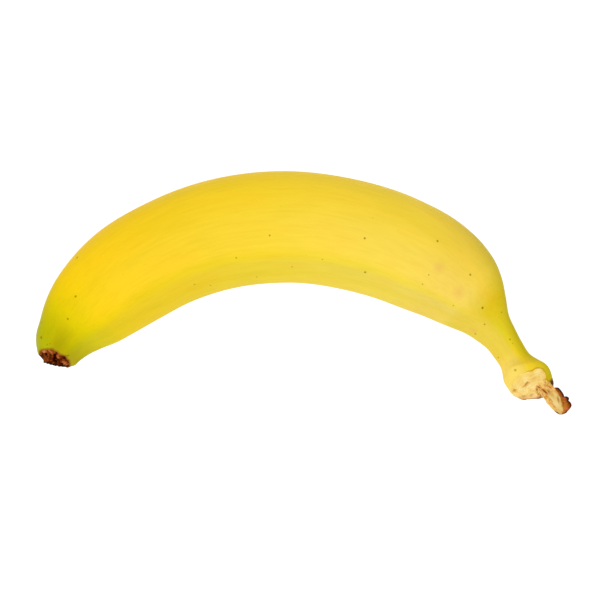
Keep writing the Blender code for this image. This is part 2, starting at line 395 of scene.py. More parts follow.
# The ripeness from the flower end to the stalk.
RIPENESS = (
    (0.04, "b2a201"), (0.062, "c1b301"), (0.092, "d9c402"), (0.131, "eecb12"), (0.185, "f2cb20"),
    (0.323, "efcc2d"), (0.446, "f0d038"), (0.569, "f0d147"), (0.692, "f0d251"), (0.754, "efce58"),
    (0.8, "efd05a"), (0.838, "ddc222"), (0.877, "decb2e"), (0.946, "eaca33"),
)
length_share = add(wax, "MapRange", {0: degrees, 1: -62.0, 2: 68.0})
ripe = add(wax, "ValToRGB", {0: length_share}, stops=RIPENESS)
# The tint from the underside round by the outer curve and the top to the inner side: the skin is a
# little deeper outside, and greener along the ridge and inside it.
SIDE_TINTS = (
    (0.0, "f6fbf6"), (0.5, "fffbee"), (0.6, "fffcda"), (0.655, "fffcce"), (0.7, "fffee8"),
    (0.74, "ffffff"), (0.81, "ffffff"), (0.842, "f8fdd4"), (0.864, "f3f9ff"), (0.89, "f3f9ff"),
    (0.915, "f1f7e4"), (0.95, "f6fbf4"),
)
round_share = add(wax, "MapRange", {0: direction, 1: -180.0, 2: 180.0})
sides = add(wax, "ValToRGB", {0: round_share}, stops=SIDE_TINTS)
skin_colour = add(wax, "Mix", {0: 1.0, 6: ripe, 7: sides}, data_type="RGBA", blend_type="MULTIPLY")
# Where the skin has other tones: the two angles round the bend between which each comes up, how full
# it gets, the two directions in which it comes up, counted from the outer curve or from the top, and
# its colour. They are green on the outer side by the flower scar and dusky along the top there, olive
# outside on the shoulder and neck and paler inside, and lighter on the inner side of the flare. That
# last one is painted light, which evens out the shade that falls on the flare's inner slope.
from_outside = add(wax, "Math", {0: direction}, operation="ABSOLUTE")
past_top = add(wax, "Math", {0: direction, 1: -92.0}, operation="ADD")
from_top = add(wax, "Math", {0: past_top}, operation="ABSOLUTE")
TONES = (
    ((-48.5, -57.0), 0.7, from_outside, (105.0, 55.0), "acb200"),
    ((-50.5, -55.5), 0.75, from_top, (27.0, 6.0), "a49800"),
    ((24.0, 42.0), 1.0, from_outside, (54.0, 0.0), "c2b00c"),
    ((42.0, 47.0), 0.8, from_outside, (88.0, 120.0), "e6c84a"),
    # Painted light: the flare's inner slope, which lies in shade, is painted lighter.
    ((57.0, 60.0), 0.7, from_outside, (68.0, 125.0), "f4d76a"),
)
for (start, full), most, turned, (near, there), code in TONES:
    lengthwise = add(wax, "MapRange", {0: degrees, 1: start, 2: full, 4: most})
    sideways = add(wax, "MapRange", {0: turned, 1: near, 2: there})
    share = add(wax, "Math", {0: lengthwise, 1: sideways}, operation="MULTIPLY")
    skin_colour = add(wax, "Mix", {0: share, 6: skin_colour, 7: linear(code)}, data_type="RGBA")
# Faint mottling some 8 mm across, drawn out along the fruit, and fibres, which are about 0.5 mm apart
# in the real skin and are drawn about 1 mm apart so that they show.
mottle_place = add(wax, "VectorMath", {0: unrolled_place, 1: (0.35, 1, 1)}, operation="MULTIPLY")
mottle = add(wax, "TexNoise", {"Vector": mottle_place, "Scale": 0.13, "Detail": 2.0, "Roughness": 0.5})
fibre_place = add(wax, "VectorMath", {0: unrolled_place, 1: (0.07, 1, 1)}, operation="MULTIPLY")
fibres = add(wax, "TexNoise", {"Vector": fibre_place, "Scale": 1.1, "Detail": 2.0, "Roughness": 0.55})
MOTTLE_TINTS = ((0.3, "f9faf0"), (0.5, "fefefc"), (0.72, "fffaf2"))
FIBRE_TINTS = ((0.3, "fbfaf5"), (0.55, "ffffff"))
for pattern, tints in ((mottle, MOTTLE_TINTS), (fibres, FIBRE_TINTS)):
    tint = add(wax, "ValToRGB", {0: pattern}, stops=tints)
    layers = {0: 1.0, 6: skin_colour, 7: tint}
    skin_colour = add(wax, "Mix", layers, data_type="RGBA", blend_type="MULTIPLY")
# The clearest small brown marks: angle round the bend, direction in the section and radius.
MARKS = (
    (-57.0, 54, 0.30), (-56.5, 32, 0.50), (-56.5, 65, 0.30), (-56.5, 137, 0.45), (-50.0, 78, 0.40),
    (-45.5, 67, 0.40), (-40.5, 30, 0.40), (-22.5, 144, 0.35), (-19.0, 156, 0.35), (-11.0, 121, 0.35),
    (-7.0, 157, 0.35), (-3.0, 102, 0.35), (2.0, 140, 0.35), (9.0, 125, 0.30), (17.0, 93, 0.40),
    (19.5, 130, 0.50), (30.5, 60, 0.40), (32.5, 101, 0.30), (32.5, 115, 0.30), (39.5, 64, 0.40),
    (41.0, 121, 0.30), (46.0, 87, 0.50), (49.0, 118, 0.35), (49.5, 36, 0.30), (49.5, 177, 0.40),
    (55.0, 52, 0.35), (56.0, 50, 0.25), (57.0, -168, 0.35), (61.0, 126, 0.50),
)
# How far a mark fades out beyond its radius, its dark core, and the radius that is dark in full.
MARK_SPREAD = 1.25
MARK_CORE = 0.3
FULL_MARK = 0.42
# Soft rosy smudges on the shoulder and the inner side of the neck, given in the same way.
SMUDGES = ((33.5, 86, 2.6), (40.0, 98, 3.0), (48.5, 165, 2.0))
seen_body = unrolled(body).reshape(-1, 3) - (0, 0, SECTION_MIDDLE)
body_reach = np.hypot(seen_body[:, 1], seen_body[:, 2])
body_way = np.arctan2(seen_body[:, 2], seen_body[:, 1])


def skin_spot(material, mark_angle, mark_direction, radius, core):
    """A socket that rises from 0 to 1 towards a place on the skin. Core is the share that is all 1."""
    ahead, way = math.radians(mark_angle) * BEND_RADIUS, math.radians(mark_direction)
    away = np.hypot(seen_body[:, 0] - ahead, body_reach * np.sin((body_way - way) / 2) * 2)
    reach = body_reach[np.argsort(away)[:4]].mean()
    centre = (ahead, reach * math.cos(way), reach * math.sin(way))
    near = add(material, "VectorMath", {0: unrolled_place, 1: centre}, operation="DISTANCE")
    return add(material, "MapRange", {0: near.outputs["Value"], 1: radius, 2: radius * core})


spotted = 0.0
for mark_angle, mark_direction, radius in MARKS:
    spot = skin_spot(wax, mark_angle, mark_direction, MARK_SPREAD * radius, MARK_CORE)
    weighed = add(wax, "Math", {0: spot, 1: min(1, radius / FULL_MARK)}, operation="MULTIPLY")
    spotted = add(wax, "Math", {0: spotted, 1: weighed}, operation="MAXIMUM")
smudged = 0.0
for mark_angle, mark_direction, radius in SMUDGES:
    smudge = skin_spot(wax, mark_angle, mark_direction, radius, 0.0)
    smudged = add(wax, "Math", {0: smudged, 1: smudge}, operation="MAXIMUM")
smudge_share = add(wax, "Math", {0: smudged, 1: 0.4}, operation="MULTIPLY")
# Fainter marks, one in each cell of about 9 mm, of random sizes down to nothing. The cells lie on the
# skin as if it were cut open and laid flat, at the fruit's half width in its middle.
MIDDLE_HALF = 18
map_x = add(wax, "Math", {0: degrees, 1: math.radians(BEND_RADIUS)}, operation="MULTIPLY")
map_y = add(wax, "Math", {0: direction, 1: math.radians(MIDDLE_HALF)}, operation="MULTIPLY")
skin_map = add(wax, "CombineXYZ", {"X": map_x, "Y": map_y})
cells = add(wax, "TexVoronoi", {"Vector": skin_map, "Scale": 0.11}, voronoi_dimensions="2D")
cell_size = add(wax, "SeparateColor", {0: cells.outputs["Color"]}).outputs[0]
cell_reach = add(wax, "MapRange", {0: cell_size, 1: 0.35, 2: 1.0, 4: 0.035})
faint = add(wax, "Math", {0: cell_reach, 1: cells.outputs["Distance"]}, operation="SUBTRACT")
faint_spot = add(wax, "MapRange", {0: faint, 1: 0.0, 2: 0.03, 4: 0.35})
all_spots = add(wax, "Math", {0: spotted, 1: faint_spot}, operation="MAXIMUM")
spot_share = add(wax, "Math", {0: all_spots, 1: 0.85}, operation="MULTIPLY")
# The skin dries brown next to the flower scar, and in a thin line where it tore at the stalk.
near_scar = add(wax, "Attribute", attribute_name="from_scar").outputs["Fac"]
near_break = add(wax, "Attribute", attribute_name="from_break").outputs["Fac"]
ragged = add(wax, "TexNoise", {"Vector": unrolled_place, "Scale": 0.9, "Detail": 3.0})
scar_reach = add(wax, "MapRange", {0: ragged, 1: 0.3, 2: 0.7, 3: 0.6, 4: 1.1})
scar_near = add(wax, "Math", {0: near_scar, 1: scar_reach}, operation="DIVIDE")
scar_share = add(wax, "MapRange", {0: scar_near, 1: 1.0, 2: 0.25, 4: 0.9})
near_line = add(wax, "MapRange", {0: near_break, 1: 0.85, 2: 0.35, 4: 0.65})
on_right = add(wax, "MapRange", {0: direction, 1: 96.0, 2: 70.0, 3: 0.1})
above_corner = add(wax, "MapRange", {0: direction, 1: 6.0, 2: 24.0})
in_line = add(wax, "Math", {0: on_right, 1: above_corner}, operation="MULTIPLY")
line_share = add(wax, "Math", {0: near_line, 1: in_line}, operation="MULTIPLY")
# On the inner side the skin goes over softly into the pale pith, and its outer corner is dark.
on_left = add(wax, "MapRange", {0: direction, 1: 80.0, 2: 125.0})
fade = add(wax, "MapRange", {0: near_break, 1: 3.5, 2: 0.0, 4: 0.75})
soft_share = add(wax, "Math", {0: on_left, 1: fade}, operation="MULTIPLY")
corner_place = (math.radians(67.35) * BEND_RADIUS, 7.5, 0)
plan_place = add(wax, "VectorMath", {0: unrolled_place, 1: (1, 1, 0)}, operation="MULTIPLY")
corner_away = add(wax, "VectorMath", {0: plan_place, 1: corner_place}, operation="DISTANCE")
corner_share = add(wax, "MapRange", {0: corner_away.outputs["Value"], 1: 2.2, 2: 1.2, 4: 0.95})
for share, code in (
    (smudge_share, "dca258"),
    (spot_share, "806200"),
    (scar_share, "84420e"),
    (line_share, "a8701a"),
    (soft_share, "f0d060"),
    (corner_share, "4a1606"),
):
    skin_colour = add(wax, "Mix", {0: share, 6: skin_colour, 7: linear(code)}, data_type="RGBA")
fine = add(wax, "TexNoise", {"Vector": fibre_place, "Scale": 2.2, "Detail": 3.0})
peel_grain = add(wax, "Math", {0: fine, 1: fibres}, operation="ADD")
satin = add(wax, "MapRange", {0: mottle, 1: 0.3, 2: 0.7, 3: 0.46, 4: 0.56})
shading = {"Base Color": skin_colour, "Roughness": satin, "IOR": 1.45, "Specular IOR Level": 0.035}
cover(peel, wax, shading, peel_grain, bump=(0.35, 0.12))
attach(peel, "root")
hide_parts("banana")


# The dried flower scar
# The real one is the hard dry stub that the flower left when it fell off: a brown crust of lumps
# and creases. It is pinkish on its high points and nearly black in its creases and on its lower edge,
# partly its own colour and partly painted highlight on the high points and painted shade in the
# creases and on the lower edge.

SCAR_DOME = 2.0
SCAR_RINGS = 54
SCAR_COLUMNS = 150
LUMP_SIZE = 2.5
LUMP_HEIGHT = 1.1
LUMP_LEVEL = 0.6
CRUMB_SIZE = 0.95
CRUMB_HEIGHT = 0.26
CRUMB_LEVEL = 0.5
LUMP_SEED = 1
HIGHLIT_RIDGE_HEIGHT = 0.5
CREASE_DEPTH = 0.6
# The tongue of the crust: how far it stands out, its middle and its spread, as shares of the section.
TONGUE = 0.8
TONGUE_MIDDLE = (0.25, -0.25)
TONGUE_SPREAD = (0.2, 0.45)
# The hidden flank under the peel's edge: its rings, and in degrees of bend how far under the edge it
# starts and how far it rises from there at least.
SCAR_FLANK_RINGS = 5
SCAR_HIDDEN = 0.35
SCAR_RISE = 0.3
# The scar's size as a share of the section, and how much it is drawn in where the peel rolls wider.
SCAR_SIZE = 0.97
SCAR_DRAW = 0.055
# The size over which its face goes from its edge to the fruit's own end, and where its relief fades.
DRAWN_RUN = 0.3
FADE_FROM = 0.88
FADE_RUN = 0.12
# The sizes of an end face's first and last ring.
FACE_FROM = 0.985
FACE_TO = 0.02
# The far edge is found in slices of this half width. The crust starts to darken with painted shade
# this far from it, and is fully dark after this run.
EDGE_SLICES = 27
SLICE_HALF = 0.3
DARK_FROM = 1.2
DARK_RUN = 0.7
# Its pale ridges, which carry a painted highlight, and its deepest creases, which carry painted shade:
# angle round the bend, distance outside the bend radius, length, width, turn in plan and height or
# depth.
HIGHLIT_RIDGES = (
    (-58.7, 3.1, 1.3, 0.45, 135, 0.8),
    (-58.9, 1.4, 0.8, 0.5, 100, 0.55),
    (-59.9, 0.4, 1.2, 0.5, 20, 0.5),
    (-58.2, -1.6, 0.9, 0.4, 0, 0.45),
    (-58.6, -5.0, 0.9, 0.6, 60, 0.75),
)
CREASED = (
    (-59.2, 2.1, 0.6, 0.5, 90, 0.8),
    (-58.8, -1.0, 0.9, 0.6, 100, 0.9),
    (-59.6, -2.0, 0.8, 0.5, 60, 0.8),
    (-59.4, -3.9, 0.9, 0.4, 20, 0.6),
)


def lumps(points, size, seed):
    """Rounded lumps with creases between them, 0 in a crease and 1 on a top, at points in mm."""
    noise.seed_set(LUMP_SEED)
    shift = Vector((seed, 3.1 * seed, 7.7 * seed))
    heights = []
    for point in points.reshape(-1, 3):
        place = Vector(point) / size + shift
        place += 0.45 * noise.noise_vector(1.4 * place)
        nearest = noise.voronoi(place)[0]
        heights.append(1 - math.exp(-3.2 * (nearest[1] - nearest[0])))
    return np.array(heights).reshape(points.shape[:-1])


def pitted(seen, table):
    """How deep each point lies in a table's hollows, as they are seen from above."""
    deepest = np.zeros(seen.shape[:-1])
    for pit_angle, outside, length, width, turn, depth in table:
        ahead = seen[..., 0] - math.radians(pit_angle) * BEND_RADIUS
        aside = seen[..., 1] - outside
        c, s = math.cos(math.radians(turn)), math.sin(math.radians(turn))
        long_way, cross_way = aside * c + ahead * s, ahead * c - aside * s
        hollow = depth * np.exp(-((long_way / length) ** 2) - (cross_way / width) ** 2)
        deepest = np.maximum(deepest, hollow)
    return deepest


around = np.linspace(0, 2 * math.pi, SCAR_COLUMNS, endpoint=False)
scar_roll = by_direction(SCAR_ROLL, around)
rim = FIRST + by_direction(SCAR_BACK, around) + SCAR_HIDDEN
face_angle = np.minimum(FIRST, rim - SCAR_RISE)
flank = rim + (face_angle - rim) * np.linspace(0, 1, SCAR_FLANK_RINGS)[:, None]
scar_size = SCAR_SIZE - SCAR_DRAW * (scar_roll - 1)
outer = np.broadcast_to(scar_size, flank.shape)
inner = np.linspace(FACE_FROM, FACE_TO, SCAR_RINGS)[:, None] * scar_size
sizes = np.concatenate([outer, inner])
drawn_in = eased((scar_size - inner) / DRAWN_RUN)
angle = np.concatenate([flank, face_angle + (FIRST - face_angle) * drawn_in])
dome = SCAR_DOME * np.cos(np.clip(sizes / (FACE_FROM * scar_size), 0, 1) * math.pi / 2)
risen = np.clip((rim - angle) / (rim - face_angle), 0, 1)
edge_push = SCAR_ROLL_BULGE * (scar_roll - 1) * risen
dome += edge_push * (sizes / scar_size) ** 2
# One tongue of the crust stands out further, low on the outer half.
outward, up = sizes * np.cos(around), sizes * np.sin(around)
tongue_out = ((outward - TONGUE_MIDDLE[0]) / TONGUE_SPREAD[0]) ** 2
tongue_up = ((up - TONGUE_MIDDLE[1]) / TONGUE_SPREAD[1]) ** 2
dome = dome + TONGUE * np.exp(-tongue_out - tongue_up)
bare = fruit(angle, around, sizes, -dome)
tops = lumps(unrolled(bare), LUMP_SIZE, 2)
crumbs = lumps(unrolled(bare), CRUMB_SIZE, 5)
rough = LUMP_HEIGHT * (tops - LUMP_LEVEL) + CRUMB_HEIGHT * (crumbs - CRUMB_LEVEL)
highlit_ridges = pitted(unrolled(bare), HIGHLIT_RIDGES)
creased = pitted(unrolled(bare), CREASED)
rough += HIGHLIT_RIDGE_HEIGHT * highlit_ridges - CREASE_DEPTH * creased
rough *= 1 - eased((sizes / scar_size - FADE_FROM) / FADE_RUN)
scar_rings = fruit(angle, around, sizes, -(dome + rough))
# How light the crust is: most on its lumps and highlit ridges, least in its creases. This is partly
# the crust's own colour and partly painted highlight on the tops and painted shade in the creases.
crust = np.clip(0.6 * tops + 0.25 * crumbs + 0.3 * highlit_ridges - 0.55 * creased, 0, 1)
# Its far edge, as seen from above, is painted nearly black over the last millimetre: partly its own
# dark colour and partly painted shade where the crust turns under.
seen = unrolled(scar_rings)
slices = np.linspace(seen[..., 1].min(), seen[..., 1].max(), EDGE_SLICES)
far_edge = [seen[np.abs(seen[..., 1] - middle) < SLICE_HALF, 0].min() for middle in slices]
from_far_edge = seen[..., 0] - np.interp(seen[..., 1], slices, far_edge)
painted_edge_shade = eased((DARK_FROM - from_far_edge) / DARK_RUN)
scar = skin("flower_scar", scar_rings, {"crust": crust, "painted_edge_shade": painted_edge_shade})

# Dry plant crust: matt, with no shine. It has painted shade low down, towards the table, and on its
# far edge.
crusty = finish_named("dried flower crust")
CRUST_TINTS = ((0.24, "220802"), (0.42, "68270b"), (0.6, "9a4e1e"), (0.76, "c07e50"), (0.92, "d69c78"))
height = add(crusty, "Attribute", attribute_name="crust").outputs["Fac"]
grain_place = add(crusty, "TexCoord").outputs["Object"]
grain = add(crusty, "TexNoise", {"Vector": grain_place, "Scale": 900.0, "Detail": 3.0})
height_part = add(crusty, "Math", {0: height, 1: 0.75}, operation="MULTIPLY")
mixed = add(crusty, "Math", {0: grain, 1: 0.35, 2: height_part}, operation="MULTIPLY_ADD")
tone = add(crusty, "ValToRGB", {0: mixed}, stops=CRUST_TINTS)
rise = add(crusty, "SeparateXYZ", {0: grain_place}).outputs["Z"]
# Painted shade: the crust is darkened towards the table.
painted_low_shade = add(crusty, "MapRange", {0: rise, 1: 0.0118, 2: 0.0172, 3: 0.1})
shaded = add(crusty, "Mix", {0: 1.0, 6: tone, 7: painted_low_shade}, data_type="RGBA", blend_type="MULTIPLY")
# Painted shade: the far edge is darkened nearly black.
painted_edge_shade_value = add(crusty, "Attribute", attribute_name="painted_edge_shade").outputs["Fac"]
painted_edge_shade_share = add(crusty, "Math", {0: painted_edge_shade_value, 1: 0.95}, operation="MULTIPLY")
edge_shaded_crust = add(crusty, "Mix", {0: painted_edge_shade_share, 6: shaded, 7: linear("240a02")}, data_type="RGBA")
shading = {"Base Color": edge_shaded_crust, "Roughness": 0.8, "Specular IOR Level": 0.0}
cover(scar, crusty, shading, grain, bump=(0.6, 0.2))
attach(scar, "root")


# The broken face of the stalk
# The real one is the pale fibrous pith inside the stalk, torn across when the banana was pulled from
# its bunch. It bulges out of the ring of peel, and has pits where the fibres pulled out. Their brown
# is partly the pith's own colour and partly painted shade.

# The pith's size as a share of the stalk, by direction. Inside the bend it runs over into the peel.
PITH_SIZE = ((0, 0.9), (30, 0.9), (52, 0.965), (105, 0.985), (190, 0.985), (260, 0.985), (320, 0.95))
PITH_DOME = 2.2
# How far its edge stands out beyond the stalk's end, by direction.
PITH_PUSH = (
    (0, -0.9), (28, -0.9), (45, -0.5), (70, 0.0), (150, 0.1), (175, 0.7), (200, 1.15), (228, 0.4),
    (262, -0.45), (290, 0.1), (325, -0.3),
)
# The size inside which the pith bulges, and how much its edge is drawn in.
BULGE_SIZE = 0.955
EDGE_DRAW = 0.015
# The flank that comes out from under the peel: its rings, and how many degrees under it starts.
PITH_FLANK_RINGS = 14
PITH_HIDDEN = 0.3
FACE_RINGS = 70
FACE_COLUMNS = 160
# The ring-shaped fibres: how far apart, how high, and how far and in what lengths they wander.
FIBRE_STEP = 0.8
FIBRE_RIDGE = 0.045
FIBRE_WANDER = 0.45
WANDER_LENGTHS = (4, 9)
# How high the face is uneven, how deep a full pit is, and how far in from its edge both are full.
UNEVEN_HEIGHT = 0.3
PIT_DEPTH = 0.9
SMOOTH_EDGE = 1.2
# The size at which relief turns from outward to forward, and over how much of it.
FACING_SIZE = 0.99
FACING_RUN = 0.06
# Pits and splits of the face and of the strip that hangs from it: angle, distance outside the bend
# radius, length, width, turn in plan and depth.
PITS = (
    (65.35, -1.5, 1.35, 0.5, -18, 0.85),
    (65.0, -0.75, 0.4, 0.35, 0, 0.9),
    (65.65, -5.5, 0.75, 0.55, 20, 0.95),
    (64.6, 1.2, 1.6, 0.3, 15, 0.25),
    (67.6, -3.2, 0.7, 0.35, 15, 0.35),
    (68.2, -0.6, 0.8, 0.3, 5, 0.6),
    (67.9, -3.0, 0.5, 0.4, 10, 0.8),
    (66.9, 1.9, 0.7, 0.4, 80, 0.9),
    (67.4, 1.7, 0.75, 0.38, 112, 1.0),
    (67.9, 3.2, 1.35, 0.38, 66, 1.1),
    (68.2, 4.5, 0.8, 0.55, 80, 0.5),
    (67.5, 5.2, 0.65, 0.34, 44, 0.95),
    (67.0, 4.2, 0.45, 0.2, 50, 0.6),
    (68.7, 2.35, 0.85, 0.28, 80, 0.75),
    (69.5, 3.7, 1.4, 0.2, 66, 0.6),
    (70.4, 6.55, 1.0, 0.3, 96, 0.5),
)


around = np.linspace(0, 2 * math.pi, FACE_COLUMNS, endpoint=False)
pith_size = by_direction(PITH_SIZE, around)
hidden = LAST - by_direction(BREAK_BACK, around) - PITH_HIDDEN
flank_steps = np.linspace(0, 1, PITH_FLANK_RINGS)[:, None]
flank = hidden + (LAST - hidden) * flank_steps
outer = pith_size - EDGE_DRAW * flank_steps**3
inner = np.linspace(FACE_FROM, FACE_TO, FACE_RINGS)[:, None] * (pith_size - EDGE_DRAW)
sizes = np.concatenate([outer, inner])
angle = np.concatenate([flank, np.full_like(inner, LAST)])
dome = PITH_DOME * np.cos(np.clip(sizes, 0, BULGE_SIZE) / BULGE_SIZE * math.pi / 2)
dome = dome + by_direction(PITH_PUSH, around) * sizes**2 * (1 - (LAST - angle) / (LAST - hidden))
bare = fruit(angle, around, sizes, dome)
seen = unrolled(bare)
inward = (pith_size - sizes) * STALK_HALF + np.radians(angle - hidden) * BEND_RADIUS
wander = swell(seen, WANDER_LENGTHS, seed=21)
ridges = np.sin(2 * math.pi * (inward / FIBRE_STEP + FIBRE_WANDER * wander))
uneven = 0.6 * swell(seen, (3, 6), seed=23) + 0.4 * swell(seen, (1.0, 2.4), seed=22)
pit = pitted(seen, PITS)
rough = FIBRE_RIDGE * ridges + UNEVEN_HEIGHT * uneven - PIT_DEPTH * pit
rough *= eased(inward / SMOOTH_EDGE)
facing = eased((FACING_SIZE * pith_size - sizes) / FACING_RUN)
face_rings = fruit(angle, around, sizes + (1 - facing) * rough / STALK_HALF, dome + facing * rough)
face = skin("stalk_face", face_rings, {"pit": pit, "ridge": ridges, "inward": inward})

# Torn pith: matt plant fibre, cream, with straw-coloured fibre lines and brown pits, whose brown is
# partly the pith's own colour and partly painted shade.
pith = finish_named("torn stalk pith")
_, pith_direction, pith_place = bend_places(pith)
PITH_TINTS = ((0.34, "e8c062"), (0.5, "f0cf78"), (0.66, "f3dc92"))
cloud = add(pith, "TexNoise", {"Vector": pith_place, "Scale": 0.42, "Detail": 3.0})
pith_colour = add(pith, "ValToRGB", {0: cloud}, stops=PITH_TINTS)
ridge_value = add(pith, "Attribute", attribute_name="ridge").outputs["Fac"]
valley = add(pith, "MapRange", {0: ridge_value, 1: 0.3, 2: -1.0, 4: 0.3})
pit_value = add(pith, "Attribute", attribute_name="pit").outputs["Fac"]
# The pits are painted brown, partly as their own colour and partly as painted shade.
pit_brown_and_shade = add(pith, "MapRange", {0: pit_value, 1: 0.08, 2: 0.8, 4: 0.95})
# On the inner side the pith is still as yellow as the peel where it comes out from under it.
inward_value = add(pith, "Attribute", attribute_name="inward").outputs["Fac"]
near_peel = add(pith, "MapRange", {0: inward_value, 1: 3.0, 2: 0.4, 4: 0.9})
pith_left = add(pith, "MapRange", {0: pith_direction, 1: 85.0, 2: 125.0, 3: 0.45})
yellowed = add(pith, "Math", {0: near_peel, 1: pith_left}, operation="MULTIPLY")
# Its low edge has dried pinkish, and brown in spots.
pith_rise = add(pith, "SeparateXYZ", {0: pith_place}).outputs["Z"]
pinkish = add(pith, "MapRange", {0: pith_rise, 1: -4.5, 2: -8.0, 4: 0.6})
spots = add(pith, "TexNoise", {"Vector": pith_place, "Scale": 0.75, "Detail": 1.0})
spot_line = add(pith, "Math", {0: spots, 1: 5.0, 2: pith_rise}, operation="MULTIPLY_ADD")
low_edge = add(pith, "MapRange", {0: spot_line, 1: -4.1, 2: -6.2, 4: 0.8})
for share, code in (
    (valley, "dcb25a"),
    (pit_brown_and_shade, "b46c06"),
    (yellowed, "f0d060"),
    (pinkish, "e3ac74"),
    (low_edge, "8a4420"),
):
    pith_colour = add(pith, "Mix", {0: share, 6: pith_colour, 7: linear(code)}, data_type="RGBA")
pith_grain = add(pith, "TexNoise", {"Vector": pith_place, "Scale": 2.4, "Detail": 3.0})
shading = {"Base Color": pith_colour, "Roughness": 0.7, "Specular IOR Level": 0.06}
cover(face, pith, shading, pith_grain, bump=(0.5, 0.25))
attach(face, "root")


# The torn strip
# The real one is a strip of stalk fibre that came away with the banana when it was torn off. It
# grows out of the broken face in several ribs, which run together into one folded strip.

# The strip's line: angle round the bend, distance outside the bend radius, height, half the width and
# half the thickness there.
STRIP_LINE = (
    (62.5, 2.8, 12.4, 1.8, 1.4),
    (66.0, 3.6, 14.8, 2.3, 1.7),
    (69.0, 4.85, 15.9, 2.65, 1.75),
    (71.1, 6.05, 15.6, 2.75, 1.9),
    (73.5, 8.1, 14.0, 2.3, 1.5),
)
STRIP_RINGS = 150
STRIP_COLUMNS = 130
STRIP_TIP = 0.12
STRIP_TWIST = 50
FOLD_COUNT = 5
FOLD_DEPTH = 0.10
FINE_FOLD_COUNT = 17
FINE_FOLD_DEPTH = 0.02
STRIP_BUMP = 0.06
STRIP_BUMP_LENGTHS = (1.2, 3.5)
# Olive spots on its upper side, given as the pits of the broken face are.
OLIVE_SPOTS = (
    (66.4, 4.6, 0.40, 0.34, 64, 0.8),
    (67.0, 4.9, 0.40, 0.28, 64, 0.9),
    (69.4, 2.6, 0.45, 0.45, 64, 0.9),
    (69.0, 4.6, 1.30, 0.50, 64, 0.45),
    (70.3, 6.5, 1.10, 0.34, 96, 0.7),
    (71.9, 6.9, 0.90, 0.60, 64, 0.3),
)
HOLLOW_SINK = 0.35
# Where the strip's pale middle ends and its dried outer side begins: angle round the bend and
# distance outside the bend radius.
DRIED_BORDER = (
    (67.4, 9.5), (68.1, 6.9), (69.0, 6.9), (69.5, 7.1), (70.5, 7.15), (71.0, 6.95), (71.4, 7.0),
    (72.3, 7.0), (73.4, 6.5),
)


def read_along(table, share):
    """Each column of a table with evenly spaced rows, read smoothly by share of the way down it."""
    stops = np.linspace(0, 1, len(table))
    return [smooth_through(stops, column, share) for column in zip(*table)]


def ways_off(line):
    """The level way and the upward way square to a line, at each of its points."""
    ahead = np.gradient(line, axis=0)
    ahead /= np.linalg.norm(ahead, axis=1, keepdims=True)
    across = np.cross([0.0, 0.0, 1.0], ahead)
    across /= np.linalg.norm(across, axis=1, keepdims=True)
    return across, np.cross(ahead, across)


def on_strip(along, way, reach=1.0, lift=0.0):
    """Points by share along the strip and direction round it. Reach scales it, and lift is in mm."""
    bend, outside, rise, wide, thick = read_along(STRIP_LINE, along)
    line = at_turn(np.radians(bend), BEND_RADIUS + outside, rise)
    across, over = (row[:, None] for row in ways_off(line))
    line, wide, thick = line[:, None], wide[:, None, None], thick[:, None, None]
    reach, lift = np.asarray(reach)[..., None], np.asarray(lift)[..., None]
    side, up = np.cos(way)[..., None], np.sin(way)[..., None]
    return line + (wide * reach + lift) * side * across + (thick * reach + lift) * up * over


def past_border(seen):
    """How far points lie past the border of the dried side, in mm."""
    angles, distances = zip(*DRIED_BORDER)
    return seen[..., 1] - np.interp(np.degrees(seen[..., 0] / BEND_RADIUS), angles, distances)


along = np.linspace(0, 1, STRIP_RINGS)
around = np.linspace(0, 2 * math.pi, STRIP_COLUMNS, endpoint=False)
way = np.broadcast_to(around, (STRIP_RINGS, STRIP_COLUMNS))
share = np.broadcast_to(along[:, None], way.shape)
past = np.maximum(share - 1 + STRIP_TIP, 0) / STRIP_TIP
taper = np.sqrt(np.maximum(1 - past**2, 0.06))
twisted = way + np.radians(STRIP_TWIST) * share
folds = 0.5 + 0.5 * np.cos(FOLD_COUNT * twisted + 1.2 * np.sin(2 * twisted + 1.3 + 2 * share))
fine_folds = np.cos(FINE_FOLD_COUNT * twisted + 2.0 * np.sin(3 * twisted + 4 * share))
reach = (1 - FOLD_DEPTH * (1 - folds) + FINE_FOLD_DEPTH * fine_folds) * taper
bumps = STRIP_BUMP * swell(on_strip(along, way, reach), STRIP_BUMP_LENGTHS, seed=31)
bare = on_strip(along, way, reach * (1 + bumps))
seen = unrolled(bare)
on_top = eased(np.sin(way) / 0.4)
sunk = pitted(seen, PITS) * on_top
olive_spots = pitted(seen, OLIVE_SPOTS) * on_top
dried = past_border(seen)
strip_rings = on_strip(along, way, reach * (1 + bumps), -HOLLOW_SINK * sunk)
strip = skin(
    "torn_strip",
    strip_rings,
    {
        "groove": 1 - folds,
        "sunk": sunk,
        "olive": olive_spots,
        "dried": dried,
        "strip_share": share,
        "tip_edge": eased((share - 0.8) / 0.07) * eased((np.degrees(way) - 142) / 18),
    },
)

